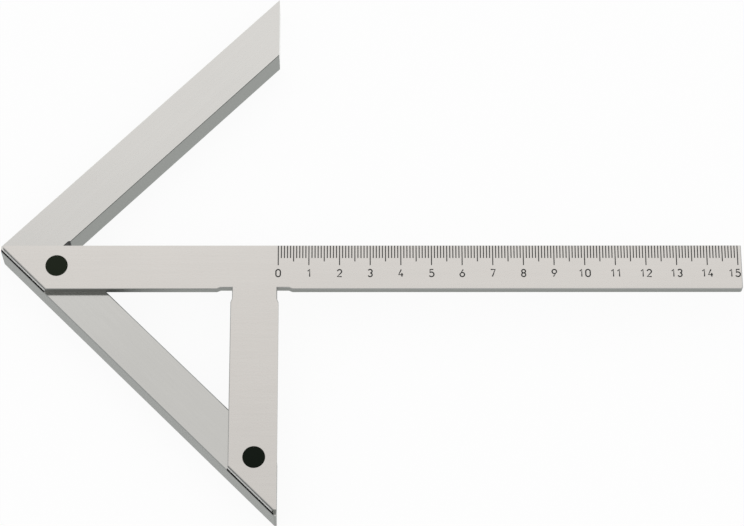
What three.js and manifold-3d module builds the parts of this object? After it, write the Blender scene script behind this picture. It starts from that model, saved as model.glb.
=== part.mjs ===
// Centre square: a V-shaped head that straddles a round bar, and a graduated blade whose
// upper edge halves the V, so a line scribed along it always crosses the middle of the bar.
// The tool lies on its back. Lengths are millimetres, X runs along the blade, Z points up.

import * as THREE from "three";
import { mergeVertices } from "three/addons/utils/BufferGeometryUtils.js";
import Module from "manifold-3d";

const wasm = await Module();
wasm.setup();

// Arms of the head, two ground bars that meet at the apex
const armLength = 129.3;
const armWidth = 14.6;
const armHeight = 11;
const armEdgeBreak = 0.3;
const apexTrim = 1;
const armTipTrim = 0.3;

// Blade, one flat plate in the shape of a T that lies on the arms
const bladeWidth = 15.2;
const bladeThickness = 3;
const legWidth = 15.6;
const bladeInset = 0.7;
const bladeEndRadius = 0.8;
const legTipTrim = 0.3;
const rootTipTrim = 1.05;

// Relief in the inner corners of the T and of the V, where the grinding wheel runs out
const reliefDepth = 0.5;
const reliefLength = 3.3;
const reliefRamp = 1.2;

// Graduation along the scribing edge, and how far its zero and the leg stand out past the arms
const zeroPastArms = 0.5;
const legPastZero = 0.2;
const scaleLength = 150;
const scalePitch = 1;
const pastLastLine = 1.3;
const shortLine = 4.5;
const middleLine = 5.7;
const longLine = 7;
const lineWidth = 0.3;
const lineDepth = 0.1;

// Rivets that hold the blade on the lower arm
const rivetHeadDiameter = 7.1;
const rivetShankDiameter = 4;
const rivetHeadLand = 0.2;
const rivetHeadSink = 0.1;
const closingHeadDiameter = 6;
const closingHeadLand = 0.1;
const closingHeadSink = 0.2;
const rivetGap = 0.1;

// Where the rivets stand, across the lower arm from its outer face, and across ruler and leg
const rootRivetAcrossShare = 0.615;
const rootRivetDownShare = 0.46;
const footRivetAcrossShare = 0.595;
const footRivetAlongShare = 0.53;

// Dowels that pin the two arms together across their mitre
const dowelDiameter = 3;
const dowelLength = 10;
const dowelGap = 0.1;
const dowelEndRoom = 0.5;
const dowelEndBreak = 0.3;
const dowelPlaceShares = [0.42, 0.72];

// Facets of the round shapes, and how far a cut runs past what it cuts
const roundFacets = 48;
const cornerFacets = 6;
const overrun = 1;

// Sizes that follow from the ones above
const halfRightAngle = Math.PI / 4;
const toolHeight = armHeight + bladeThickness;
const armReach = armLength * Math.cos(halfRightAngle);
const mitreLength = armWidth / Math.sin(halfRightAngle);
const insetAlongBlade = bladeInset / Math.sin(halfRightAngle);
const scaleZero = armReach + zeroPastArms;
const bladeEnd = scaleZero + scaleLength + pastLastLine;
const legEnd = scaleZero + legPastZero;
const legStart = legEnd - legWidth;
const bladeStart = insetAlongBlade + rootTipTrim;

// Turns a closed three.js geometry into a solid that can be cut
function solidFrom(geometry) {
  const bare = geometry.clone();
  bare.deleteAttribute("normal");
  bare.deleteAttribute("uv");
  const merged = mergeVertices(bare);
  return new wasm.Manifold(new wasm.Mesh({
    numProp: 3,
    vertProperties: merged.attributes.position.array,
    triVerts: merged.index.array,
  }));
}

// Turns a solid back into a geometry
function geometryFrom(solid) {
  const mesh = solid.getMesh();
  const geometry = new THREE.BufferGeometry();
  geometry.setAttribute("position", new THREE.BufferAttribute(mesh.vertProperties, 3));
  geometry.setIndex(new THREE.BufferAttribute(mesh.triVerts, 1));
  geometry.computeVertexNormals();
  return geometry;
}

// A box between two opposite corners
function boxBetween(low, high) {
  const size = new THREE.Vector3().subVectors(high, low);
  const middle = new THREE.Vector3().addVectors(low, high).multiplyScalar(1 / 2);
  const geometry = new THREE.BoxGeometry(size.x, size.y, size.z);
  geometry.translate(middle.x, middle.y, middle.z);
  return solidFrom(geometry);
}

// A round solid about Z from its profile, a list of radius and height that starts and ends on Z
function turned(profile) {
  const points = profile.map(([radius, height]) => new THREE.Vector2(radius, height));
  const geometry = new THREE.LatheGeometry(points, roundFacets);
  geometry.rotateX(Math.PI / 2);
  return geometry;
}

// A ground bar with broken long edges, lying from the apex at an angle to the blade.
// Its width runs to the left of its direction, from nearSide to nearSide plus the width.
function groundBar(angle, nearSide) {
  const farSide = nearSide + armWidth;
  const section = new THREE.Shape();
  section.moveTo(nearSide + armEdgeBreak, 0);
  section.lineTo(farSide - armEdgeBreak, 0);
  section.lineTo(farSide, armEdgeBreak);
  section.lineTo(farSide, armHeight - armEdgeBreak);
  section.lineTo(farSide - armEdgeBreak, armHeight);
  section.lineTo(nearSide + armEdgeBreak, armHeight);
  section.lineTo(nearSide, armHeight - armEdgeBreak);
  section.lineTo(nearSide, armEdgeBreak);
  section.closePath();
  const along = new THREE.Vector3(Math.cos(angle), Math.sin(angle), 0);
  const left = new THREE.Vector3(-Math.sin(angle), Math.cos(angle), 0);
  const up = new THREE.Vector3(0, 0, 1);
  const bar = new THREE.ExtrudeGeometry(section, {
    depth: armLength + 2 * overrun,
    bevelEnabled: false,
  });
  bar.translate(0, 0, -overrun);
  bar.applyMatrix4(new THREE.Matrix4().makeBasis(left, up, along));
  return solidFrom(bar);
}

// Rivet profile from the closing head up to the set head, wider by gap for the hole that takes it
function rivetProfile(gap, bottom, top) {
  const shank = rivetShankDiameter / 2 + gap;
  const head = rivetHeadDiameter / 2 + gap;
  const closing = closingHeadDiameter / 2 + gap;
  const headRim = toolHeight - rivetHeadSink - rivetHeadLand;
  const closingRim = closingHeadSink + closingHeadLand;
  return [
    [0, bottom],
    [closing, bottom],
    [closing, closingRim],
    [shank, closingRim + closing - shank],
    [shank, headRim - head + shank],
    [head, headRim],
    [head, top],
    [0, top],
  ];
}

// The hole right through blade and lower arm for a rivet that stands at a place
function rivetHole(place) {
  const hole = turned(rivetProfile(rivetGap, -overrun, toolHeight + overrun));
  hole.translate(place.x, place.y, 0);
  return solidFrom(hole);
}

// A place on the lower arm, given how far down the blade and how far in from the outer face
function placeOnLowerArm(down, fromOuterFace) {
  return new THREE.Vector2(down + fromOuterFace / Math.sin(halfRightAngle), -down);
}

const rootRivetPlace = placeOnLowerArm(rootRivetDownShare * bladeWidth, rootRivetAcrossShare * armWidth);
const footRivetAlong = legStart + footRivetAlongShare * legWidth;
const footRivetDown = footRivetAlong - footRivetAcrossShare * mitreLength;
const footRivetPlace = new THREE.Vector2(footRivetAlong, -footRivetDown);

const dowelHeight = armHeight / 2;
const dowelPlaces = dowelPlaceShares.map((share) => share * mitreLength);

// The blind holes for the dowels, drilled square to the mitre into both arms
function cutDowelHoles(arm) {
  const depth = dowelLength / 2 + dowelEndRoom;
  let drilled = arm;
  for (const place of dowelPlaces) {
    const drill = new THREE.CylinderGeometry(
      dowelDiameter / 2 + dowelGap, dowelDiameter / 2 + dowelGap, 2 * depth, roundFacets);
    drill.translate(place, 0, dowelHeight);
    drilled = drilled.subtract(solidFrom(drill));
  }
  return drilled;
}

// Relief of the T's left inner corner from the ruler's edge to the leg's, across and up from it
const cornerRelief = [
  [-reliefLength - reliefRamp, 0],
  [-reliefLength, reliefDepth],
  [reliefDepth, reliefDepth],
  [reliefDepth, -reliefLength],
  [0, -reliefLength - reliefRamp],
];

// The same relief turned to open along the blade, as it is cut through both arms where they meet
function headRelief() {
  const outline = new THREE.Shape(cornerRelief.map(([across, up]) => new THREE.Vector2(across, up)));
  const cutter = new THREE.ExtrudeGeometry(outline, {
    depth: armHeight + 2 * overrun,
    bevelEnabled: false,
  });
  cutter.rotateZ(3 * halfRightAngle);
  cutter.translate(mitreLength, 0, -overrun);
  return solidFrom(cutter);
}

// Upper arm, mitred on the line that halves the V
function makeUpperArm() {
  const bar = groundBar(halfRightAngle, -armWidth);
  const kept = boxBetween(
    new THREE.Vector3(apexTrim, 0, -overrun),
    new THREE.Vector3(armReach, armReach - armTipTrim, armHeight + overrun));
  return geometryFrom(cutDowelHoles(bar.intersect(kept).subtract(headRelief())));
}

// Lower arm, its twin, with the holes for the rivets that hold the blade on it
function makeLowerArm() {
  const bar = groundBar(-halfRightAngle, 0);
  const kept = boxBetween(
    new THREE.Vector3(apexTrim, armTipTrim - armReach, -overrun),
    new THREE.Vector3(armReach, 0, armHeight + overrun));
  let arm = cutDowelHoles(bar.intersect(kept).subtract(headRelief()));
  for (const place of [rootRivetPlace, footRivetPlace]) {
    arm = arm.subtract(rivetHole(place));
  }
  return geometryFrom(arm);
}

// Outline of the blade: the ruler from the apex to its free end, and the leg down to the arm's foot
function bladeOutline() {
  const footCut = (x) => insetAlongBlade - x;
  const legFoot = footCut(legEnd) + legTipTrim;
  const outline = new THREE.Shape();
  outline.moveTo(bladeStart, 0);
  outline.lineTo(bladeStart, footCut(bladeStart));
  outline.lineTo(bladeWidth + insetAlongBlade, -bladeWidth);
  for (const [across, up] of cornerRelief) {
    outline.lineTo(legStart + across, up - bladeWidth);
  }
  outline.lineTo(legStart, footCut(legStart));
  outline.lineTo(legEnd - legTipTrim, legFoot);
  outline.lineTo(legEnd, legFoot);
  for (const [across, up] of cornerRelief.toReversed()) {
    outline.lineTo(legEnd - across, up - bladeWidth);
  }
  outline.lineTo(bladeEnd - bladeEndRadius, -bladeWidth);
  outline.absarc(bladeEnd - bladeEndRadius, bladeEndRadius - bladeWidth,
    bladeEndRadius, -Math.PI / 2, 0, false);
  outline.lineTo(bladeEnd, 0);
  outline.closePath();
  return outline;
}

// How far the graduation line with this number reaches in from the scribing edge
function lineReach(number) {
  if (number % 10 === 0) return longLine;
  if (number % 5 === 0) return middleLine;
  return shortLine;
}

// Blade with its rivet holes and the graduation engraved in its upper face
function makeBlade() {
  const plate = new THREE.ExtrudeGeometry(bladeOutline(), {
    depth: bladeThickness,
    curveSegments: cornerFacets,
    bevelEnabled: false,
  });
  plate.translate(0, 0, armHeight);
  let blade = solidFrom(plate);
  for (const place of [rootRivetPlace, footRivetPlace]) {
    blade = blade.subtract(rivetHole(place));
  }
  const lineCount = Math.floor(scaleLength / scalePitch) + 1;
  for (let number = 0; number < lineCount; number += 1) {
    const x = scaleZero + number * scalePitch;
    blade = blade.subtract(boxBetween(
      new THREE.Vector3(x - lineWidth / 2, -lineReach(number), toolHeight - lineDepth),
      new THREE.Vector3(x + lineWidth / 2, overrun, toolHeight + overrun)));
  }
  return geometryFrom(blade);
}

// Dowel with broken ends, lying across the mitre
function makeDowel() {
  const radius = dowelDiameter / 2;
  const end = dowelLength / 2;
  const dowel = turned([
    [0, -end],
    [radius - dowelEndBreak, -end],
    [radius, dowelEndBreak - end],
    [radius, end - dowelEndBreak],
    [radius - dowelEndBreak, end],
    [0, end],
  ]);
  dowel.rotateX(Math.PI / 2);
  return dowel;
}

const makeRivet = () => turned(
  rivetProfile(0, closingHeadSink, toolHeight - rivetHeadSink));

const groundSteel = new THREE.MeshStandardMaterial({
  color: 0xcfccc8, roughness: 0.38, metalness: 0.9, flatShading: true,
});
const bladeSteel = new THREE.MeshStandardMaterial({
  color: 0xcbc8c4, roughness: 0.34, metalness: 0.9, flatShading: true,
});
const blackenedSteel = new THREE.MeshStandardMaterial({
  color: 0x1d211c, roughness: 0.55, metalness: 0.3,
});
const brightSteel = new THREE.MeshStandardMaterial({
  color: 0xb9bbbd, roughness: 0.25, metalness: 1,
});

const centreSquare = new THREE.Group();

function addPiece(name, geometry, material, x = 0, y = 0, z = 0) {
  const piece = new THREE.Mesh(geometry, material);
  piece.name = name;
  piece.position.set(x, y, z);
  centreSquare.add(piece);
}

addPiece("upper_arm", makeUpperArm(), groundSteel);
addPiece("lower_arm", makeLowerArm(), groundSteel);
addPiece("blade", makeBlade(), bladeSteel);
addPiece("root_rivet", makeRivet(), blackenedSteel, rootRivetPlace.x, rootRivetPlace.y);
addPiece("foot_rivet", makeRivet(), blackenedSteel, footRivetPlace.x, footRivetPlace.y);
addPiece("outer_dowel", makeDowel(), brightSteel, dowelPlaces[0], 0, dowelHeight);
addPiece("inner_dowel", makeDowel(), brightSteel, dowelPlaces[1], 0, dowelHeight);

// The origin is the middle of the whole tool, on the face that it lies on
centreSquare.position.x = -(apexTrim + bladeEnd) / 2;

export default centreSquare;
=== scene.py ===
# %% [markdown]
# # A centre square, dressed around its packed frame
# A centre square is a V-shaped steel head with a graduated blade along the line that halves the V.
# The packed model gives every piece at its true place and size, but plain: square edges, no
# figures and no finish. This lesson rebuilds what can be seen around that frame, in metres, and
# leaves the two hidden dowels as they are, with a finish of their own.

# %% Load the frame and measure it
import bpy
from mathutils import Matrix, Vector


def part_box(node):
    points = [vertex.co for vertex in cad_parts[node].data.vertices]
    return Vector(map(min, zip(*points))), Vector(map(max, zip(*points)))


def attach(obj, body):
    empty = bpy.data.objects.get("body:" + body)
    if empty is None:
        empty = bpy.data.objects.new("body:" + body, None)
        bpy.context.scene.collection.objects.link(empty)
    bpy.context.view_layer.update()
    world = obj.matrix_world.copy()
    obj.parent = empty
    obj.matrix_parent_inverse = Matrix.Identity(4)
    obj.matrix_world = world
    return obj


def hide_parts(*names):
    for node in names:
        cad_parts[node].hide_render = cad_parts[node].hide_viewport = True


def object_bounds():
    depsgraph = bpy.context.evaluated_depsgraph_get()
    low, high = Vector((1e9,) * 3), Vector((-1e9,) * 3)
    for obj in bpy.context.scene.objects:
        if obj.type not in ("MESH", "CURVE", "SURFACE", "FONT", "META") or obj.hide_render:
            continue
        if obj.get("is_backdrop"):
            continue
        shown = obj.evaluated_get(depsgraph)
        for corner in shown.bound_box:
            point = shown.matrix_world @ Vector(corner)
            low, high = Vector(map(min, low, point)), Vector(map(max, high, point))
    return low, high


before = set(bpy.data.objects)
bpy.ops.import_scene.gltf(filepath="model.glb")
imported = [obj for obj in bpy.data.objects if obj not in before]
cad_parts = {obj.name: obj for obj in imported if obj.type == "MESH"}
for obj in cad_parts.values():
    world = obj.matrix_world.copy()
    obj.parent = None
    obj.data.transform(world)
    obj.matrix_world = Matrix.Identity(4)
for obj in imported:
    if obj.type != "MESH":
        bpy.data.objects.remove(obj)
frame_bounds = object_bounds()
print("frame from", [round(v, 6) for v in frame_bounds[0]], "to", [round(v, 6) for v in frame_bounds[1]])

# %% [markdown]
# ## Sizes
# Places and large sizes are read from the frame's boxes, so a new pack with other sizes moves the
# dressed pieces too. What a box can't tell, such as the width of a bar that lies askew, is written
# down where it is first needed. The millimetre is the working unit of such a tool, so it gets a
# name, and each length is written as so many of them.

# %% Read the sizes off the frame
import math
from contextlib import contextmanager
import bmesh
import bpy
from mathutils import Matrix, Vector

mm = 0.001
micron = 1e-6
overrun = 1 * mm
right_angle = math.radians(90)
half_right_angle = right_angle / 2

upper_low, upper_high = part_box("upper_arm")
lower_low, lower_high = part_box("lower_arm")
blade_low, blade_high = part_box("blade")

apex_trim = 1 * mm
apex = Vector((upper_low.x - apex_trim, 0, 0))
arm_end = upper_high.x
arm_length = (arm_end - apex.x) / math.cos(half_right_angle)
print("arm length", round(arm_length / mm, 2), "mm, blade", round(blade_high.x / mm, 2), "mm out")

# %% [markdown]
# ## Working in edit mode
# Every piece starts as a primitive and is shaped with the same operators that a modeller picks
# from the menus. An operator acts on whatever is selected, so the helpers below clear the
# selection first, and then select faces, edges or vertices by where they lie.

# %% Helpers that select
def put_down():
    """Deselects every object, because the next operator would act on it too."""
    bpy.ops.object.select_all(action="DESELECT")


def take_up(*pieces):
    """Selects these pieces alone, with the first one active."""
    put_down()
    for piece in pieces:
        piece.select_set(True)
    bpy.context.view_layer.objects.active = pieces[0]


@contextmanager
def editing(piece):
    """Opens a piece in edit mode with nothing selected, and closes it again."""
    take_up(piece)
    bpy.ops.object.mode_set(mode="EDIT")
    bpy.ops.mesh.select_all(action="DESELECT")
    yield
    bpy.ops.object.mode_set(mode="OBJECT")


def pick(kind, test):
    """Selects the verts, edges or faces of the piece in edit mode that pass a test."""
    bpy.ops.mesh.select_mode(type={"verts": "VERT", "edges": "EDGE", "faces": "FACE"}[kind])
    bpy.ops.mesh.select_all(action="DESELECT")
    mesh = bmesh.from_edit_mesh(bpy.context.object.data)
    found = [part for part in getattr(mesh, kind) if test(part)]
    for part in found:
        part.select_set(True)
    mesh.select_flush_mode()
    bmesh.update_edit_mesh(bpy.context.object.data)


def pick_all():
    """Selects the whole piece in edit mode."""
    bpy.ops.mesh.select_all(action="SELECT")


def faces_towards(face, way):
    """Whether a face looks within 60 degrees of a way."""
    return face.normal.dot(Vector(way)) > 1 / 2


# %% [markdown]
# ## Starting a piece and cutting it
# Most pieces of this tool begin as a box, because they were bars and plates before they were
# ground. Bisect stands for the saw when it drops one side of the cut, and for the scriber when it
# only marks a line on which the next step can take hold. Modifiers do what would take many cuts.

# %% Helpers that start and cut
def start_box(name, low, high):
    """A new box between two opposite corners, with its place in its mesh."""
    put_down()
    bpy.ops.mesh.primitive_cube_add(size=1, location=(low + high) / 2)
    piece = bpy.context.object
    piece.name = name
    piece.data.name = name
    bpy.ops.transform.resize(value=high - low)
    bpy.ops.object.transform_apply(location=True, rotation=True, scale=True)
    return piece


def cut_off(point, outward):
    """Saws the piece in edit mode along a plane, and drops what lies on its outward side."""
    pick_all()
    bpy.ops.mesh.bisect(
        plane_co=point, plane_no=outward, use_fill=True, clear_outer=True, threshold=micron)


def scribe(point, across):
    """Marks a line round the piece in edit mode, where faces are split but nothing is dropped."""
    pick_all()
    bpy.ops.mesh.bisect(plane_co=point, plane_no=across)


def apply_modifier(piece, kind, **settings):
    """Adds one modifier with its settings and applies it."""
    take_up(piece)
    modifier = piece.modifiers.new(kind.title(), kind)
    for name, value in settings.items():
        setattr(modifier, name, value)
    bpy.ops.object.modifier_apply(modifier=modifier.name)


def tell(piece):
    """Says how large a finished piece is."""
    size = [round(side / mm, 2) for side in piece.dimensions]
    print(piece.name, size, "mm,", len(piece.data.polygons), "faces")


print("overrun of the cutters", round(overrun / mm, 2), "mm")

# %% [markdown]
# ## Cutters for the dowel holes
# The two dowels and the two rivets stand in drilled holes. A hole is made as on the bench: a
# tool of its shape is sunk in the steel and taken out again, which here is a Boolean modifier. The
# dowels are plain pins across the mitre, so their drill is a cylinder.

# %% Make the dowel drills
dowel_gap = 0.1 * mm
dowel_end_room = 0.5 * mm
round_facets = 96


def join_pieces(name, pieces):
    """Makes one object out of several, under a new name."""
    take_up(*pieces)
    bpy.ops.object.join()
    pieces[0].name = name
    pieces[0].data.name = name
    return pieces[0]


def throw_away(piece):
    """Deletes a cutter that has done its work."""
    bpy.data.objects.remove(piece)


def carve(piece, cutter, operation="DIFFERENCE"):
    """Cuts a piece with another object that may cross itself, and merges the doubles it leaves."""
    apply_modifier(
        piece, "BOOLEAN", object=cutter, operation=operation, solver="EXACT", use_self=True)
    with editing(piece):
        pick_all()
        bpy.ops.mesh.remove_doubles(threshold=micron)


def start_dowel_drills():
    """Cylinders across the mitre, each a little larger than its dowel."""
    drills = []
    for node in ("outer_dowel", "inner_dowel"):
        low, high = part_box(node)
        put_down()
        bpy.ops.mesh.primitive_cylinder_add(
            vertices=round_facets,
            radius=(high.x - low.x) / 2 + dowel_gap,
            depth=high.y - low.y + 2 * dowel_end_room,
            location=(low + high) / 2,
            rotation=(right_angle, 0, 0))
        bpy.ops.object.transform_apply(location=True, rotation=True, scale=True)
        drills.append(bpy.context.object)
    return join_pieces("dowel_drills", drills)


dowel_drills = start_dowel_drills()
tell(dowel_drills)

# %% [markdown]
# ## Cutters for the rivet holes
# A rivet's hole is countersunk on both sides. Rivet and hole share one profile, and the hole's is
# a little wider. The profile is turned from a short cylinder: its lower face is extruded downwards
# step by step, and widened or narrowed at each step.

# %% Make the rivet reamers
rivet_hole_room = 0.1 * mm
rivet_shank_radius = 2 * mm
rivet_head_land = 0.3 * mm
closing_head_radius = 3 * mm
closing_head_land = 0.1 * mm


def start_rivet(name, node, gap, bottom_room, top_room):
    """A countersunk rivet from its set head down to its closing head, wider by gap all round."""
    low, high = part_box(node)
    head_radius = (high.x - low.x) / 2
    head_rim = high.z - rivet_head_land
    closing_rim = low.z + closing_head_land
    head_cone = head_radius - rivet_shank_radius
    closing_cone = closing_head_radius - rivet_shank_radius
    top = high.z + top_room
    put_down()
    bpy.ops.mesh.primitive_cylinder_add(
        vertices=round_facets,
        radius=head_radius + gap,
        depth=top - head_rim,
        location=((low.x + high.x) / 2, (low.y + high.y) / 2, (top + head_rim) / 2))
    piece = bpy.context.object
    piece.name = name
    piece.data.name = name
    bpy.ops.object.transform_apply(location=True, rotation=True, scale=True)
    centre = Vector(((low.x + high.x) / 2, (low.y + high.y) / 2, 0))
    steps = [
        (head_cone, rivet_shank_radius + gap, head_radius + gap),
        (head_rim - head_cone - closing_rim - closing_cone, 1, 1),
        (closing_cone, closing_head_radius + gap, rivet_shank_radius + gap),
        (closing_head_land + bottom_room, 1, 1),
    ]
    with editing(piece):
        pick("faces", lambda face: faces_towards(face, (0, 0, -1)))
        for drop, wide, was_wide in steps:
            bpy.ops.mesh.extrude_region_move(TRANSFORM_OT_translate={"value": (0, 0, -drop)})
            ratio = wide / was_wide
            bpy.ops.transform.resize(value=(ratio, ratio, 1), center_override=centre)
    return piece


rivet_reamers = join_pieces("rivet_reamers", [
    start_rivet(f"reamer_{node}", node, rivet_hole_room, overrun, overrun)
    for node in ("root_rivet", "foot_rivet")])
tell(rivet_reamers)

# %% [markdown]
# ## The two arms
# Each arm is a ground bar. On the bench the long edges are broken with a stone first, and the bar
# is then sawn and ground to the mitre, so the mitre's own edges stay sharp and the seam closes.
# The same order works here: bevel the straight bar, push its inner side in where the grinding
# wheel runs out at the corner of the V, swing the bar to 45 degrees, and cut the ends.

# %% Model the arms
arm_width = 14.8 * mm
upper_edge_break = 0.16 * mm
lower_edge_break = 0.35 * mm
edge_break_segments = 2
relief_depth = 0.5 * mm
relief_length = 3.3 * mm
head_relief_ramp = 0.6 * mm
lower_tip_reach = 0.5 * mm


def start_arm(name, side, low, high, edge_break, tip_reach):
    """A bar swung to one side of the blade: side is 1 for the upper arm and -1 for the lower."""
    near, far = sorted((0, -side * arm_width))
    relief_end = apex.x + arm_width + relief_length
    piece = start_box(
        name,
        Vector((apex.x - arm_width, near, low.z)),
        Vector((apex.x + arm_length + arm_width, far, high.z)))
    with editing(piece):
        pick("edges", lambda edge: abs(edge.verts[0].co.x - edge.verts[1].co.x) > arm_width)
        bpy.ops.mesh.bevel(offset=edge_break, segments=edge_break_segments, affect="EDGES")
        for line in (relief_end, relief_end + head_relief_ramp):
            scribe(Vector((line, 0, 0)), Vector((1, 0, 0)))
        pick("verts", lambda vert: vert.co.x < relief_end + micron
             and side * vert.co.y < -arm_width / 2)
        bpy.ops.transform.translate(value=(0, side * relief_depth, 0))
        pick_all()
        bpy.ops.transform.rotate(
            value=-side * half_right_angle, orient_axis="Z", center_override=apex)
        cut_off(apex, Vector((0, -side, 0)))
        cut_off(low, Vector((-1, 0, 0)))
        cut_off(high + Vector((tip_reach, 0, 0)), Vector((1, 0, 0)))
        cut_off(high if side > 0 else low, Vector((0, side, 0)))
        bpy.ops.mesh.select_all(action="DESELECT")
    carve(piece, dowel_drills)
    return piece


upper_arm = start_arm(
    "upper_arm_ground", 1, upper_low, upper_high, upper_edge_break, 0)
lower_arm = start_arm(
    "lower_arm_ground", -1, lower_low, lower_high, lower_edge_break, lower_tip_reach)
carve(lower_arm, rivet_reamers)
throw_away(dowel_drills)
tell(upper_arm)
tell(lower_arm)

# %% [markdown]
# ## Laying out the blade
# Ruler and leg are one plate in the shape of a T. Its scale starts just past the plane of the arms'
# ends, and the leg's right side lies next to the zero line. Root and foot are sawn off along one
# line at 45 degrees, a little inside the lower arm's outer side.

# %% Measure out ruler and leg
blade_width = 15.2 * mm
blade_inset = 0.55 * mm
leg_width = 15.6 * mm
zero_past_arms = 0.5 * mm
leg_past_zero = 0.2 * mm

blade_top = blade_high.z
inset_along_blade = blade_inset / math.sin(half_right_angle)
ruler_edge = blade_high.y - blade_width
zero_line = arm_end + zero_past_arms
leg_right = zero_line + leg_past_zero
leg_left = leg_right - leg_width
leg_middle = Vector((leg_right - leg_width / 2, 0, 0))
print("leg from", round(leg_left / mm, 2), "to", round(leg_right / mm, 2), "mm along the blade")

# %% [markdown]
# ## The blade
# The T could be drawn as an outline and extruded, but the way from a plain strip shows better how
# such an outline comes about: scribe lines across the strip, push the lower edge in where the
# grinding wheel runs out, pull the leg out of it, and saw root and foot off. The ground edges are
# broken last, all but the scribing edge and the leg's right side, which stay sharp.

# %% Model the blade's plate
relief_ramp = 1.2 * mm
blade_end_radius = 0.8 * mm
leg_tip_trim = 1 * mm
top_edge_break = 0.25 * mm
cut_edge_break = 0.38 * mm
under_edge_break = 0.1 * mm
end_facets = 8
flat_angle = math.radians(1)


def edge_lies_at(height, sawn):
    """A test for edges of the outline at a height: sawn at 45 degrees, or ground but not sharp."""
    def test(edge):
        ends = [vert.co for vert in edge.verts]
        level = all(abs(end.z - height) < micron for end in ends)
        on_cut = all(abs(end.x - apex.x + end.y - inset_along_blade) < micron for end in ends)
        scribing = all(abs(end.y - blade_high.y) < micron for end in ends)
        leg_side = all(abs(end.x - leg_right) < micron for end in ends)
        return level and on_cut == sawn and not scribing and not leg_side
    return test


def start_blade():
    """The T with its reliefs, its cuts and its broken edges, still without holes or scale."""
    plate = start_box(
        "blade_engraved", Vector((apex.x, ruler_edge, blade_low.z)), blade_high)
    relief_start = leg_left - relief_length
    relief_end = leg_right + relief_length
    lines = [
        relief_start - relief_ramp, relief_start, leg_left + relief_depth,
        leg_right - relief_depth, relief_end, relief_end + relief_ramp]
    with editing(plate):
        for line in lines:
            scribe(Vector((line, 0, 0)), Vector((1, 0, 0)))
        pick("verts", lambda vert: vert.co.y < ruler_edge + micron
             and relief_start - micron < vert.co.x < relief_end + micron)
        bpy.ops.transform.translate(value=(0, relief_depth, 0))
        pick("faces", lambda face: faces_towards(face, (0, -1, 0))
             and abs(face.calc_center_median().x - leg_middle.x) < micron)
        widen = leg_width / (leg_width - 2 * relief_depth)
        for drop, ratio in ((relief_depth + relief_length, 1), (relief_ramp, widen), (arm_length, 1)):
            bpy.ops.mesh.extrude_region_move(TRANSFORM_OT_translate={"value": (0, -drop, 0)})
            bpy.ops.transform.resize(value=(ratio, 1, 1), center_override=leg_middle)
        cut_off(apex + Vector((inset_along_blade, 0, 0)), Vector((-1, -1, 0)))
        pick_all()
        bpy.ops.mesh.dissolve_limited(angle_limit=flat_angle)
        pick("edges", lambda edge: all(
            (vert.co.xy - Vector((blade_high.x, ruler_edge))).length < micron for vert in edge.verts))
        bpy.ops.mesh.bevel(offset=blade_end_radius, segments=end_facets, affect="EDGES")
        pick("edges", edge_lies_at(blade_high.z, sawn=True))
        bpy.ops.mesh.bevel(offset=cut_edge_break, segments=1, affect="EDGES")
        pick("edges", edge_lies_at(blade_high.z, sawn=False))
        bpy.ops.mesh.bevel(offset=top_edge_break, segments=edge_break_segments, affect="EDGES")
        pick("edges", edge_lies_at(blade_low.z, sawn=False))
        bpy.ops.mesh.bevel(offset=under_edge_break, segments=1, affect="EDGES")
        cut_off(blade_low + Vector((0, leg_tip_trim, 0)), Vector((0, -1, 0)))
        cut_off(blade_low, Vector((-1, 0, 0)))
    carve(plate, rivet_reamers)
    return plate


blade = start_blade()
throw_away(rivet_reamers)
tell(blade)

# %% [markdown]
# ## The graduation lines
# A dividing machine cuts one line after another with the same tool, moving the blade on by one
# millimetre each time. An Array modifier does the same with one cutter. Every fifth cutter is then
# pulled longer, and every tenth longer still.

# %% Make the comb that cuts the lines
line_pitch = 1 * mm
line_width = 0.42 * mm
line_depth = 0.1 * mm
line_floor_share = 0.8
short_line = 4.4 * mm
middle_line = 5.6 * mm
long_line = 6.9 * mm
last_number = 15
lines_per_number = 10
lines_per_half = 5
scribing_edge = blade_high.y


def line_number(x):
    """Which graduation line lies at a place along the blade."""
    return round((x - zero_line) / line_pitch)


def start_comb():
    """One cutter a millimetre, from the scribing edge inwards."""
    comb = start_box(
        "comb",
        Vector((zero_line - line_width / 2, scribing_edge - short_line, blade_top - line_depth)),
        Vector((zero_line + line_width / 2, scribing_edge + overrun, blade_top + overrun)))
    with editing(comb):
        pick("faces", lambda face: faces_towards(face, (0, 0, -1)))
        bpy.ops.transform.resize(
            value=(line_floor_share, 1, 1), center_override=Vector((zero_line, 0, 0)))
    apply_modifier(
        comb, "ARRAY", count=last_number * lines_per_number + 1, use_relative_offset=False,
        use_constant_offset=True, constant_offset_displace=(line_pitch, 0, 0))
    with editing(comb):
        for every, longer in (
                (lines_per_half, middle_line - short_line), (lines_per_number, long_line - middle_line)):
            pick("verts", lambda vert: vert.co.y < scribing_edge
                 and line_number(vert.co.x) % every == 0)
            bpy.ops.transform.translate(value=(0, -longer, 0))
    return comb


comb = start_comb()
tell(comb)

# %% [markdown]
# ## The figures
# The figures are engraved with a thin round-nosed cutter that follows the middle of each stroke,
# so their strokes are all equally wide, unlike those of a printed typeface. A pen does the same
# here: one vertex is extruded in straight lines and spun in arcs, and the path then gets a round
# section as a curve with a bevel. Each digit is drawn once, and the numbers are made of copies.

# %% Draw ten digits with a pen
stroke_width = 0.45 * mm
figure_height = 2.5 * mm
figure_middle = 9.67 * mm
figure_width_share = 0.58
narrow_width_share = 0.3
figure_gap_share = 0.48
figure_lift = 0.02 * mm
last_number_shift = -1.1 * mm
arc_step = math.radians(15)
stroke_roundness = 2

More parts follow.
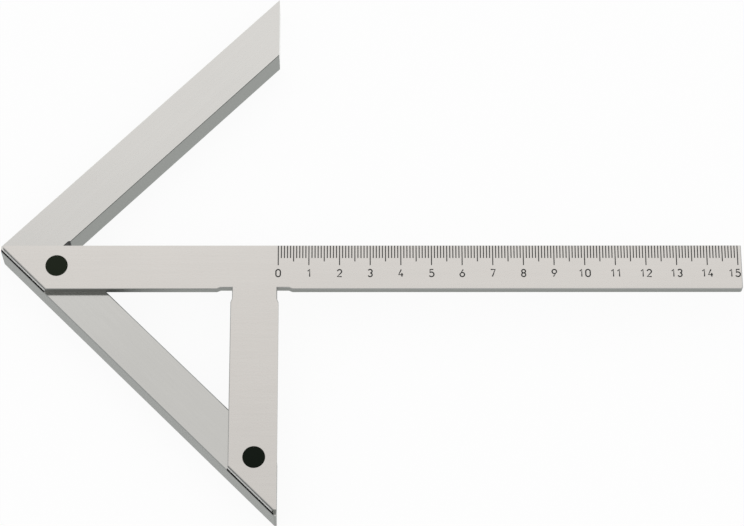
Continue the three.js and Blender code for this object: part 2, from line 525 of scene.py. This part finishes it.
figure_stroke_shares = {
    "0": [[(0, 0.29), ("line", 0, 0.71), ("arc", 0.29, 0.71, -180), ("line", 0.58, 0.29),
           ("arc", 0.29, 0.29, -180)]],
    "1": [[(0, 0.76), ("line", 0.26, 1), ("line", 0.26, 0)]],
    "2": [[(0.02, 0.76), ("arc", 0.29, 0.715, -204), ("line", 0, 0), ("line", 0.58, 0)]],
    "3": [[(0.05, 0.86), ("arc", 0.28, 0.76, -246)], [(0.28, 0.52), ("arc", 0.28, 0.26, -250)]],
    "4": [[(0.34, 1), ("line", 0, 0.27), ("line", 0.58, 0.27)], [(0.42, 0.5), ("line", 0.42, 0)]],
    "5": [[(0.52, 1), ("line", 0.1, 1), ("line", 0.07, 0.57), ("arc", 0.27, 0.32, -278)]],
    "6": [[(0.42, 1), ("line", 0.052, 0.456), ("arc", 0.29, 0.29, 360)]],
    "7": [[(0, 1), ("line", 0.58, 1), ("line", 0.2, 0)]],
    "8": [[(0.29, 0.52), ("arc", 0.29, 0.26, 360)], [(0.29, 0.52), ("arc", 0.29, 0.76, 360)]],
    "9": [[(0.16, 0), ("line", 0.528, 0.544), ("arc", 0.29, 0.71, 360)]],
}


def pen_down(point):
    """Sets the pen on a point: a small square shrinks to one vertex."""
    bpy.ops.mesh.primitive_plane_add(size=stroke_width, location=point)
    if bpy.context.mode == "OBJECT":
        bpy.ops.object.transform_apply(location=True, rotation=False, scale=False)
        bpy.ops.object.mode_set(mode="EDIT")
        pick_all()
    bpy.ops.mesh.merge(type="CENTER")


def draw_stroke(stroke):
    """Draws one stroke whose points are shares of the figure's height. Spin turns clockwise."""
    start, *moves = stroke
    place = figure_height * Vector((*start, 0))
    pen_down(place)
    for kind, x, y, *angle in moves:
        point = figure_height * Vector((x, y, 0))
        if kind == "line":
            bpy.ops.mesh.extrude_vertices_move(TRANSFORM_OT_translate={"value": point - place})
            place = point
        else:
            turn = math.radians(angle[0])
            steps = round(abs(turn) / arc_step)
            bpy.ops.mesh.spin(steps=steps, angle=-turn, center=point, axis=(0, 0, 1))
            place = point + Matrix.Rotation(turn, 3, "Z") @ (place - point)


def start_digit(digit):
    """One digit as a round-nosed cutter would engrave it, with its lower left end at the origin."""
    put_down()
    for stroke in figure_stroke_shares[digit]:
        draw_stroke(stroke)
    pick_all()
    bpy.ops.mesh.remove_doubles(threshold=micron)
    bpy.ops.object.mode_set(mode="OBJECT")
    bpy.context.object.name = f"digit_{digit}"
    bpy.ops.object.convert(target="CURVE")
    path = bpy.context.object.data
    path.bevel_depth = stroke_width / 2
    path.bevel_resolution = stroke_roundness
    path.use_fill_caps = True
    bpy.ops.object.convert(target="MESH")
    return bpy.context.object


digits = {digit: start_digit(digit) for digit in figure_stroke_shares}
print("digits", {digit: len(piece.data.vertices) for digit, piece in digits.items()})

# %% [markdown]
# ## Set the numbers under their lines
# A number is centred under its line. The last one moves in a little, because its line lies so
# close to the blade's end.

# %% Place a copy of each digit
def copy_to(piece, shift):
    """A copy with a mesh of its own, moved to its place."""
    copy = piece.copy()
    copy.data = piece.data.copy()
    copy.data.transform(Matrix.Translation(shift))
    bpy.context.scene.collection.objects.link(copy)
    return copy


def digit_width(digit):
    """How wide the middle line of a digit is."""
    share = narrow_width_share if digit == "1" else figure_width_share
    return share * figure_height


def place_number(number):
    """The digits of one number, centred under its line."""
    text = str(number)
    gap = figure_gap_share * figure_height
    length = sum(digit_width(digit) for digit in text) + gap * (len(text) - 1)
    x = zero_line + number * lines_per_number * line_pitch - length / 2
    if number == last_number:
        x += last_number_shift
    y = scribing_edge - figure_middle - figure_height / 2
    placed = []
    for digit in text:
        placed.append(copy_to(digits[digit], Vector((x, y, blade_top + figure_lift))))
        x += digit_width(digit) + gap
    return placed


figures = join_pieces(
    "figures", [piece for number in range(last_number + 1) for piece in place_number(number)])
for piece in digits.values():
    throw_away(piece)
tell(figures)

# %% [markdown]
# ## Engrave, then fill
# The cutters are sunk in the blade's upper face. The grooves are then rubbed with black filler,
# which stays a hair below the steel. The filler has the exact shape of its groove, so it is what
# a thin slab and the same cutter have in common.

# %% Cut the scale and fill it
filler_drop = 0.015 * mm
filler_room = 0.01 * mm


def start_filler(name, cutter):
    """The filler that stays in the grooves of one cutter."""
    points = [vert.co for vert in cutter.data.vertices]
    low = Vector([min(point[axis] for point in points) - overrun for axis in range(3)])
    high = Vector([max(point[axis] for point in points) + overrun for axis in range(3)])
    low.z = blade_top - line_depth + filler_room
    high.y = min(high.y, scribing_edge - filler_room)
    high.z = blade_top - filler_drop
    slab = start_box(name, low, high)
    carve(slab, cutter, "INTERSECT")
    return slab


line_filler = start_filler("line_filler", comb)
figure_filler = start_filler("figure_filler", figures)
carve(blade, comb)
carve(blade, figures)
for cutter in (comb, figures):
    throw_away(cutter)
for piece in (line_filler, figure_filler, blade):
    tell(piece)

# %% [markdown]
# ## The rivets
# A rivet ties the blade to the lower arm at the root and at the foot of its leg. Its set head fills
# the countersink and is ground nearly flush, then blackened. The closing head on the back is upset
# into a second countersink. The profile is the one that reamed the holes, now without the gap,
# and the rims of both heads are rounded.

# %% Set the two rivets
rivet_swell = 0.07 * mm
rivet_rim_break = 0.05 * mm
rivet_rim_segments = 3
smooth_angle = math.radians(35)


def start_set_rivet(name, node):
    """One rivet as it sits in its hole, with rounded rims and smooth round sides."""
    low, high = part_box(node)
    piece = start_rivet(name, node, rivet_swell, 0, 0)
    with editing(piece):
        pick("edges", lambda edge: all(
            min(abs(vert.co.z - high.z), abs(vert.co.z - low.z)) < micron for vert in edge.verts))
        bpy.ops.mesh.bevel(offset=rivet_rim_break, segments=rivet_rim_segments, affect="EDGES")
    bpy.ops.object.shade_smooth_by_angle(angle=smooth_angle)
    tell(piece)
    return piece


root_rivet = start_set_rivet("root_rivet_set", "root_rivet")
foot_rivet = start_set_rivet("foot_rivet_set", "foot_rivet")

# %% [markdown]
# ## Writing materials as sums
# A material is a tree of nodes, and a tree is easier to read as a formula. The class below wraps
# one output socket, so that adding or multiplying two wires adds the Math node that does it. Every
# other node comes from its one method, settings first and then what goes into the sockets.

# %% A wire between nodes
class Wire:
    """One output of a node, which can be used in sums and passed to other nodes."""

    def __init__(self, tree, socket=None):
        self.tree = tree
        self.socket = socket

    def node(self, kind, settings=None, values=None, output=0):
        """Adds a node with its settings, and the values or links of its input sockets."""
        made = self.tree.nodes.new(kind)
        for name, value in (settings or {}).items():
            setattr(made, name, value)
        for name, value in (values or {}).items():
            if isinstance(value, Wire):
                self.tree.links.new(value.socket, made.inputs[name])
            else:
                made.inputs[name].default_value = value
        return Wire(self.tree, made.outputs[output] if made.outputs else None)

    def maths(self, operation, first, second, clamp=False):
        """Adds a Math node with two inputs."""
        return self.node(
            "ShaderNodeMath", {"operation": operation, "use_clamp": clamp}, {0: first, 1: second})

    def __add__(self, other):
        return self.maths("ADD", self, other)

    def __radd__(self, other):
        return self.maths("ADD", other, self)

    def __sub__(self, other):
        return self.maths("SUBTRACT", self, other)

    def __rsub__(self, other):
        return self.maths("SUBTRACT", other, self)

    def __mul__(self, other):
        return self.maths("MULTIPLY", self, other)

    def __rmul__(self, other):
        return self.maths("MULTIPLY", other, self)

    def step_up(self, start, end):
        """A mask that rises from 0 to 1 between two values of this wire."""
        return self.maths("MULTIPLY", self - start, 1 / (end - start), clamp=True)

    def blend(self, first, second):
        """A colour between two, with this wire as the share of the second."""
        return self.node(
            "ShaderNodeMix", {"data_type": "RGBA"}, {0: self, 6: first, 7: second}, output=2)

    def times(self, factor):
        """This colour made lighter or darker by a factor."""
        return self.node(
            "ShaderNodeVectorMath", {"operation": "SCALE"}, {0: self, "Scale": factor})

    def unsigned(self):
        """This number without its sign."""
        return self.maths("ABSOLUTE", self, 0)

    def about_zero(self):
        """Noise around zero, where this wire is noise from 0 to 1."""
        return self - 1 / 2


print("a wire can also", [name for name in vars(Wire) if not name.startswith("_")])

# %% [markdown]
# ## Starting and ending a material
# Every finish of this tool starts from an empty tree and ends in one shader. In between it reads
# where a point lies on its piece, or which way its surface looks, so the numbers of a place or of
# a normal are taken apart often enough to deserve a helper.

# %% Helpers for every finish
def start_material(name):
    """An empty node material and the wire that its nodes are added from."""
    material = bpy.data.materials.new(name)
    material.use_nodes = True
    material.node_tree.nodes.clear()
    return material, Wire(material.node_tree)


def plain_colour(wire, colour):
    """A wire with one colour on it."""
    plain = wire.node("ShaderNodeRGB")
    plain.socket.default_value = colour
    return plain


def part_of(vector, axis):
    """One number of a vector: 0 is x, 1 is y and 2 is z."""
    return vector.node("ShaderNodeSeparateXYZ", values={0: vector}, output=axis)


def parts_of(vector):
    """The three numbers of a vector."""
    return [part_of(vector, axis) for axis in range(3)]


def finish_material(material, wire, surface):
    """Joins the last shader to the material's output."""
    wire.node("ShaderNodeOutputMaterial", values={"Surface": surface})
    print(material.name, "has", len(material.node_tree.nodes), "nodes")
    return material


# %% [markdown]
# ## Ground steel
# A grinding wheel leaves fine lines along the way that the table moves, so the grain follows each
# bar and not the whole tool. Noise makes such lines when it is squeezed across the bar and drawn
# out along it. Two widths of them are mixed, and slow clouds keep large faces from looking printed.
# The normal tells the flat faces, which are ground bright, from the duller sides and the broken
# edges between them. The sides and broken edges are painted darker than the flat faces, as painted
# shade. Its z is 1 on a flat face and 0 on a side, so a pair of shares of it says where one gives
# way to the other.

# %% Make the steel
fine_line = 0.16 * mm
wide_line = 0.9 * mm
line_run_share = 60
line_detail = 3
line_roughness = 0.6
cloud_size = 26 * mm
cloud_detail = 2
fine_depth = 0.05
wide_depth = 0.05
cloud_depth = 0.05
flat_rise_shares = (0.94, 0.99)
edge_rise_shares = (0.1, 0.3)
ground_roughness = 0.26
side_roughness = 0.4
grain_roughness = 0.1
grain_height = 0.3 * micron


def streaks(wire, place, angle, width, seed):
    """Noise drawn out along a bar that lies at an angle, from 0 to 1."""
    along = wire.node("ShaderNodeMapping", values={
        "Vector": place, "Location": (seed, seed, seed), "Rotation": (0, 0, -angle)})
    across = 1 / width
    drawn_out = wire.node("ShaderNodeVectorMath", {"operation": "MULTIPLY"}, {
        0: along, 1: (across / line_run_share, across, across)})
    return wire.node("ShaderNodeTexNoise", values={
        "Vector": drawn_out, "Scale": 1, "Detail": line_detail, "Roughness": line_roughness})


def make_steel(
        name, angle, face_colour, side_colour, edge_colour, marks, face_roughness=ground_roughness):
    """Ground steel with its grain at an angle and painted shade on its sides. Marks repaint what only
    some pieces have, painted light among it.
    """
    material, wire = start_material(name)
    place = wire.node("ShaderNodeTexCoord", output=3)
    normal = wire.node("ShaderNodeTexCoord", output=1)
    fine = streaks(wire, place, angle, fine_line, 0)
    wide = streaks(wire, place, angle, wide_line, 1)
    cloud = wire.node("ShaderNodeTexNoise", values={
        "Vector": place, "Scale": 1 / cloud_size, "Detail": cloud_detail})
    rise = part_of(normal, 2).unsigned()
    flat = rise.step_up(*flat_rise_shares)
    broken = rise.step_up(*edge_rise_shares)
    # Painted shade: the sides and broken edges take darker colours than the flat faces.
    sides = broken.blend(side_colour, edge_colour)
    colour = marks(place, normal, flat.blend(sides, face_colour))
    grain = 1 + fine_depth * fine.about_zero() + wide_depth * wide.about_zero()
    grain = grain + cloud_depth * cloud.about_zero()
    roughness = side_roughness + flat * (face_roughness - side_roughness)
    bump = wire.node("ShaderNodeBump", values={
        "Strength": 1, "Distance": grain_height, "Height": fine})
    return finish_material(material, wire, wire.node("ShaderNodeBsdfPrincipled", values={
        "Base Color": colour.times(grain), "Metallic": 1,
        "Roughness": roughness + grain_roughness * fine.about_zero(), "Normal": bump}))


# %% [markdown]
# ## The upper arm's steel
# The wall of the short relief in the corner of the V is painted black, as painted shade in the
# recess. The arm's end and its outer top edge get painted highlights and are the brightest steel on
# the tool. They could be faces with a material of their own, but a mask from place and normal needs
# no seam.

# %% Paint the relief's shade, and highlights on the end and the outer edge
paint_blur = 0.06 * mm
upright_rise_shares = (0.8, 0.9)
leaning_shares = (0.15, 0.25)
square_on_shares = (0.9, 0.95)
# Painted shade: the arms' sides and the upper arm's broken edges are darker than its top.
arm_side_shade_colour = (0.285, 0.298, 0.28, 1)
upper_face_colour = (0.65, 0.637, 0.612, 1)
upper_edge_shade_colour = (0.11, 0.115, 0.11, 1)
# Painted highlights on the upper arm's outer top edge and its end.
outer_edge_highlight_colour = (0.9, 0.9, 0.88, 1)
end_highlight_colour = (0.92, 0.92, 0.9, 1)
# Painted shade in the relief's recess.
relief_shade_colour = (0.004, 0.0045, 0.004, 1)


def paint_relief(place, normal, colour):
    """Paints the wall of an arm's relief black, as painted shade in the recess."""
    x = part_of(place, 0)
    y = part_of(place, 1).unsigned()
    inner_wall = arm_width - relief_depth
    inward = (x - apex.x - y) * math.cos(half_right_angle)
    sunk = 1 - inward.step_up(inner_wall + relief_depth / 2, inner_wall + relief_depth)
    inner = inward.step_up(inner_wall - paint_blur, inner_wall - paint_blur / 2)
    by_corner = 1 - y.step_up(relief_length, relief_length + head_relief_ramp)
    upright = 1 - part_of(normal, 2).unsigned().step_up(*upright_rise_shares)
    # Painted shade on the relief's wall.
    return (sunk * inner * by_corner * upright).blend(colour, relief_shade_colour)


def paint_upper_arm(place, normal, colour):
    """Paints shade on the relief, and painted highlights on the arm's end and its outer top edge."""
    colour = paint_relief(place, normal, colour)
    x, y, z = parts_of(normal)
    top_edge = z.step_up(*edge_rise_shares) * (1 - z.step_up(*flat_rise_shares))
    # Painted highlight on the outer top edge.
    colour = (y.step_up(*leaning_shares) * top_edge).blend(colour, outer_edge_highlight_colour)
    # Painted highlight on the end.
    return x.step_up(*square_on_shares).blend(colour, end_highlight_colour)


upper_steel = make_steel(
    "ground_upper_arm", half_right_angle, upper_face_colour, arm_side_shade_colour, upper_edge_shade_colour,
    paint_upper_arm)

# %% [markdown]
# ## The lower arm's steel
# Blade and lower arm meet in an open joint, which is painted black for both the shade in the joint
# and the oil and dust in it. It shows as a thin line on the narrow ledge that the arm leaves outside
# the blade's sawn edges. The rest of this arm is smoother than the upper one, so its top mirrors
# more clearly.

# %% Paint the open joint's shade and oil
joint_start = 0.15 * mm
joint_end_room = 0.3 * mm
joint_past_leg = 0.4 * mm
# Painted shade and oil in the open joint.
joint_shade_and_oil_colour = (0.01, 0.011, 0.01, 1)
lower_face_colour = (0.66, 0.651, 0.624, 1)
# Painted shade on the lower arm's broken edges.
lower_edge_shade_colour = (0.34, 0.35, 0.34, 1)
lower_face_roughness = 0.14


def paint_lower_arm(place, normal, colour):
    """Paints shade on the relief, and the joint's shade and oil on the ledge of the lower arm outside
    the blade's root and foot.
    """
    colour = paint_relief(place, normal, colour)
    x, y, z = parts_of(place)
    inward = (x - apex.x + y) * math.cos(half_right_angle)
    on_ledge = inward.step_up(joint_start, joint_start + paint_blur)
    under_blade = blade_inset + under_edge_break
    outside_blade = 1 - inward.step_up(under_blade, under_blade + paint_blur)
    on_top = z.step_up(lower_high.z - lower_edge_break, lower_high.z - lower_edge_break / 2)
    by_root = y.step_up(ruler_edge, ruler_edge + paint_blur)
    foot_start = leg_left - joint_past_leg
    by_foot = x.step_up(foot_start, foot_start + paint_blur)
    joint_end = arm_end - joint_end_room
    before_tip = 1 - x.step_up(joint_end, joint_end + paint_blur)
    covered = x.maths("MAXIMUM", by_root, by_foot) * before_tip
    # Painted shade and oil of the joint on the ledge.
    return (on_ledge * outside_blade * on_top * covered).blend(colour, joint_shade_and_oil_colour)


lower_steel = make_steel(
    "ground_lower_arm", -half_right_angle, lower_face_colour, arm_side_shade_colour, lower_edge_shade_colour,
    paint_lower_arm, lower_face_roughness)

# %% [markdown]
# ## The blade's steel
# The two sawn edges get a painted highlight, brighter than the blade's long sides, and the thin bevel
# above them is painted dark, as a painted reflection of the dark around the tool. The bevel under
# them takes the joint's painted shade and oil. Over the lower arm, the side of the ruler has only
# dark steel to mirror, so it is painted darker there and grows lighter where it leaves the arm.

# %% Shade the ruler's side and paint the sawn edges
shade_start_share = 1.6
shade_end_share = 3.1
shade_below_ruler = 2 * mm
shade_blur = 1 * mm
askew_shares = (0.1, 0.2)
shaded_side_colour = (0.13, 0.137, 0.128, 1)
# Painted highlight on the sawn edges, and painted dark reflection on the bevel above them.
sawn_highlight_colour = (0.72, 0.72, 0.7, 1)
sawn_bevel_shade_colour = (0.2, 0.205, 0.2, 1)
blade_face_colour = (0.698, 0.67, 0.636, 1)
# Painted shade on the blade's sides and broken edges.
blade_side_shade_colour = (0.25, 0.262, 0.245, 1)
blade_edge_shade_colour = (0.42, 0.42, 0.41, 1)


def shade_ruler(place, normal, colour):
    """Darkens the ruler's side over the lower arm."""
    y = part_of(place, 1)
    along = part_of(place, 0) - apex.x + y
    over_arm = 1 - along.step_up(shade_start_share * arm_width, shade_end_share * arm_width)
    lowest = ruler_edge - shade_below_ruler
    on_ruler = y.step_up(lowest, lowest + shade_blur)
    side = (part_of(normal, 1) * -1).step_up(*upright_rise_shares)
    return (over_arm * on_ruler * side).blend(colour, shaded_side_colour)


def paint_blade(place, normal, colour):
    """Paints shade on the ruler's side, a highlight on the sawn edges, a dark reflection on the bevel
    above them, and the joint's shade and oil on the bevel below.
    """
    colour = shade_ruler(place, normal, colour)
    x, y, z = parts_of(normal)
    sawn = (x * -1).step_up(*leaning_shares) * (y * -1).step_up(*leaning_shares)
    sawn = sawn * (1 - (x - y).unsigned().step_up(*askew_shares))
    bevel = z.step_up(*edge_rise_shares)
    # Painted highlight on the sawn faces, and painted dark reflection on the bevel above them.
    painted = bevel.blend(sawn_highlight_colour, sawn_bevel_shade_colour)
    # Painted shade and oil of the joint on the bevel under the sawn edges.
    above_joint = part_of(place, 2).step_up(blade_low.z, blade_low.z + under_edge_break)
    painted = above_joint.blend(joint_shade_and_oil_colour, painted)
    return sawn.blend(colour, painted)


blade_steel = make_steel(
    "ground_blade", 0, blade_face_colour, blade_side_shade_colour, blade_edge_shade_colour, paint_blade)

# %% [markdown]
# ## Blackened rivets
# Chemical blackening is a thin, matt, slightly green-black skin, and the turned head under it
# still shows its rings. Noise along the distance from a rivet's middle makes such rings. Fine
# specks keep the skin from looking like paint.

# %% Blacken the two rivets
root_black = (0.0087, 0.0135, 0.006, 1)
foot_black = (0.001, 0.0045, 0.001, 1)
blackened_roughness = 0.62
blackened_specular = 0.12
blackened_depth = 0.4
blackened_speck_roughness = 0.15
ring_width = 0.12 * mm
ring_detail = 2
ring_height = 0.6 * micron
speck_size = 0.25 * mm
speck_detail = 3


def make_specks(wire, place):
    """Noise in fine specks, from 0 to 1."""
    return wire.node("ShaderNodeTexNoise", values={
        "Vector": place, "Scale": 1 / speck_size, "Detail": speck_detail})


def make_blackened(name, node, black):
    """Blackened steel with turning rings round the middle of one rivet."""
    low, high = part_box(node)
    material, wire = start_material(name)
    place = wire.node("ShaderNodeTexCoord", output=3)
    centred = wire.node("ShaderNodeVectorMath", {"operation": "SUBTRACT"}, {
        0: place, 1: ((low.x + high.x) / 2, (low.y + high.y) / 2, 0)})
    flat = wire.node("ShaderNodeVectorMath", {"operation": "MULTIPLY"}, {0: centred, 1: (1, 1, 0)})
    radius = wire.node("ShaderNodeVectorMath", {"operation": "LENGTH"}, {0: flat}, output=1)
    rings = wire.node("ShaderNodeTexNoise", {"noise_dimensions": "1D"}, {
        "W": radius * (1 / ring_width), "Scale": 1, "Detail": ring_detail})
    specks = make_specks(wire, place)
    colour = plain_colour(wire, black).times(1 + blackened_depth * specks.about_zero())
    bump = wire.node("ShaderNodeBump", values={
        "Strength": 1, "Distance": ring_height, "Height": rings})
    return finish_material(material, wire, wire.node("ShaderNodeBsdfPrincipled", values={
        "Base Color": colour, "Metallic": 0,
        "Roughness": blackened_roughness + blackened_speck_roughness * specks.about_zero(),
        "Specular IOR Level": blackened_specular, "Normal": bump}))


root_finish = make_blackened("blackened_root_rivet", "root_rivet", root_black)
foot_finish = make_blackened("blackened_foot_rivet", "foot_rivet", foot_black)

# %% [markdown]
# ## Black filler and the dowels
# The filler in the scale is a matt lacquer that was rubbed in, so it is not equally dense
# everywhere. The dowels are ground pins that no one sees, with their grain along the pin.

# %% Make the filler and the dowel steel
filler_colour = (0.03, 0.031, 0.03, 1)
filler_depth = 0.8
filler_roughness = 0.7
filler_speck_roughness = 0.2
filler_specular = 0.25
dowel_colour = (0.48, 0.49, 0.5, 1)
dowel_depth = 0.2
dowel_roughness = 0.28


def make_filler(name):
    """Matt black lacquer, a little uneven."""
    material, wire = start_material(name)
    place = wire.node("ShaderNodeTexCoord", output=3)
    specks = make_specks(wire, place)
    colour = plain_colour(wire, filler_colour).times(1 + filler_depth * specks.about_zero())
    return finish_material(material, wire, wire.node("ShaderNodeBsdfPrincipled", values={
        "Base Color": colour, "Metallic": 0,
        "Roughness": filler_roughness + filler_speck_roughness * specks.about_zero(),
        "Specular IOR Level": filler_specular}))


def make_dowel_steel(name):
    """Bright ground pin steel with its grain along the pin."""
    material, wire = start_material(name)
    place = wire.node("ShaderNodeTexCoord", output=3)
    fine = streaks(wire, place, right_angle, fine_line, 2)
    colour = plain_colour(wire, dowel_colour).times(1 + dowel_depth * fine.about_zero())
    return finish_material(material, wire, wire.node("ShaderNodeBsdfPrincipled", values={
        "Base Color": colour, "Metallic": 1,
        "Roughness": dowel_roughness + grain_roughness * fine.about_zero()}))


filler = make_filler("black_filler")
dowel_steel = make_dowel_steel("ground_dowel")

# %% [markdown]
# ## Dress the pieces
# Each new piece gets its finish, takes the place of its packed node, and rides on the one body
# that a tool without joints has. The filler in the grooves replaces nothing: the packed blade only
# has the empty lines.

# %% Assign finishes and tie the pieces to the frame
def dress(piece, material, slot, *nodes):
    """Gives a piece its finish, its body and the packed nodes it stands for. The slot is not used."""
    piece.data.materials.clear()
    piece.data.materials.append(material)
    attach(piece, "root")
    if nodes:
        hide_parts(*nodes)


dress(upper_arm, upper_steel, "arm_steel", "upper_arm")
dress(lower_arm, lower_steel, "arm_steel", "lower_arm")
dress(blade, blade_steel, "blade_steel", "blade")
dress(root_rivet, root_finish, "blackened_steel", "root_rivet")
dress(foot_rivet, foot_finish, "blackened_steel", "foot_rivet")
dress(line_filler, filler, "blackened_steel")
dress(figure_filler, filler, "blackened_steel")
for node in ("outer_dowel", "inner_dowel"):
    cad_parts[node].data.materials.clear()
    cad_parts[node].data.materials.append(dowel_steel)

# %% [markdown]
# ## The floor
# The tool lies on white paper that runs out to all sides. Paper lit by lamps alone is never quite
# white in a picture, so this one is partly bright by itself where the camera or a reflection sees
# it, and keeps a share of plain paper, which holds the soft shadow.

# %% Lay the floor
floor_size = 30
floor_drop = 0.05 * mm
white = (1, 1, 1, 1)
paper_colour = (0.95, 0.95, 0.95, 1)
self_white_share = 0.92


def make_paper():
    """White paper that is partly bright by itself where the camera or a reflection sees it."""
    material, wire = start_material("white_paper")
    camera_ray = wire.node("ShaderNodeLightPath")
    glossy_ray = Wire(wire.tree, camera_ray.socket.node.outputs["Is Glossy Ray"])
    clear_ray = Wire(wire.tree, camera_ray.socket.node.outputs["Is Transmission Ray"])
    seen = wire.maths("ADD", camera_ray + glossy_ray, clear_ray, clamp=True)
    paper = wire.node("ShaderNodeBsdfDiffuse", values={"Color": paper_colour})
    glow = wire.node("ShaderNodeEmission", values={"Color": white, "Strength": 1})
    return finish_material(material, wire, wire.node("ShaderNodeMixShader", values={
        0: seen * self_white_share, 1: paper, 2: glow}))


put_down()
bpy.ops.mesh.primitive_plane_add(size=floor_size, location=(0, 0, -floor_drop))
floor = bpy.context.object
floor.name = "floor"
floor.data.materials.append(make_paper())
floor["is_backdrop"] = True

# %% [markdown]
# ## The light
# Polished metal shows what stands around it, so the light is built like a product table: one large
# softbox above and beyond the tool, in an evenly bright room. The flat faces mirror the softbox,
# and the sides mirror the floor.

# %% Hang the softbox and light the room
softbox_size = (5, 3.2)
softbox_place = (0, 2.42, 2)
softbox_watts = 14
room_brightness = 0.82

put_down()
bpy.ops.object.light_add(type="AREA", location=softbox_place)
softbox = bpy.context.object
softbox.name = "softbox"
softbox.data.shape = "RECTANGLE"
softbox.data.size, softbox.data.size_y = softbox_size
softbox.data.energy = softbox_watts

world = bpy.data.worlds.new("room")
bpy.context.scene.world = world
world.use_nodes = True
background = world.node_tree.nodes["Background"]
background.inputs["Color"].default_value = white
background.inputs["Strength"].default_value = room_brightness
print("softbox of", softbox_size, "m with", softbox_watts, "W in a room of", room_brightness)

# %% [markdown]
# ## The camera
# The place and lens come from the millimetre scale itself: a camera model was fitted to the 151
# lines, the straight edges and the two rivets. It stands about 96 cm away and looks down at the
# tool from its lower side, tilted 22 degrees from the plumb line.

# %% Place the camera
camera_place = Vector((-4.09, -356.76, 889.564)) * mm
camera_turn = (21.824, -0.2457, -0.1202)
lens = 139.894
sensor_width = 36

put_down()
bpy.ops.object.camera_add(
    location=camera_place, rotation=[math.radians(turn) for turn in camera_turn])
camera = bpy.context.object
camera.name = "camera"
camera.data.lens = lens
camera.data.sensor_width = sensor_width
bpy.context.scene.camera = camera
bpy.context.scene.view_settings.view_transform = "Standard"
print("camera", round(camera_place.length, 3), "m from the middle of the tool")

# %% [markdown]
# ## The two boxes
# The packed tool's box is printed at the start, and the dressed tool's here, as how far its corners
# moved. The dressed tool has to stay inside the packed one's box.

# %% Compare the boxes and finish
dressed_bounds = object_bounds()
for low_or_high, before, after in zip(("low", "high"), frame_bounds, dressed_bounds):
    print(low_or_high, "corner moved by", [round((a - b) / mm, 3) for a, b in zip(after, before)], "mm")
